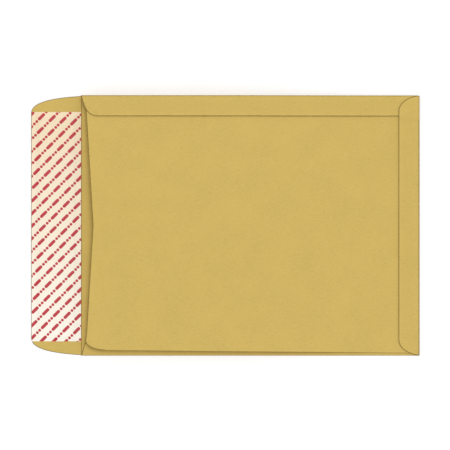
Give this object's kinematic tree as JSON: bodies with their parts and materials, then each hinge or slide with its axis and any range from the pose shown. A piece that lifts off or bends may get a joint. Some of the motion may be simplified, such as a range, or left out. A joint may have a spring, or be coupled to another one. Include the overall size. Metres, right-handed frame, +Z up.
{
  "type": "gusseted pocket envelope",
  "caption": "Manila kraft pocket envelope with side gussets, lying open on its front, with a peel-and-seal closing flap spread out.",
  "frame": {"origin": "centre of the underside of the envelope with its closing flap spread out, on the surface that it lies on", "axes": "+X from the closing flap to the closed end, +Y to the seam side, +Z up out of the back panel"},
  "size_m": [0.3792, 0.254, 0.0144],
  "materials": {
    "manila_kraft": "uncoated manila kraft, matt, with fine fibres and soft creases",
    "dried_glue": "dried glue film, between the layers",
    "tacky_adhesive": "tacky self-seal adhesive under the peel strip",
    "release_paper": "smooth coated release paper, cream, with a plain red pattern of slanted marks"
  },
  "bodies": {
    "root": {"envelope_blank": "manila_kraft", "seam_glue": "dried_glue", "end_flap_glue": "dried_glue", "flap_adhesive": "tacky_adhesive", "release_liner": "release_paper"}
  },
  "joints": []
}
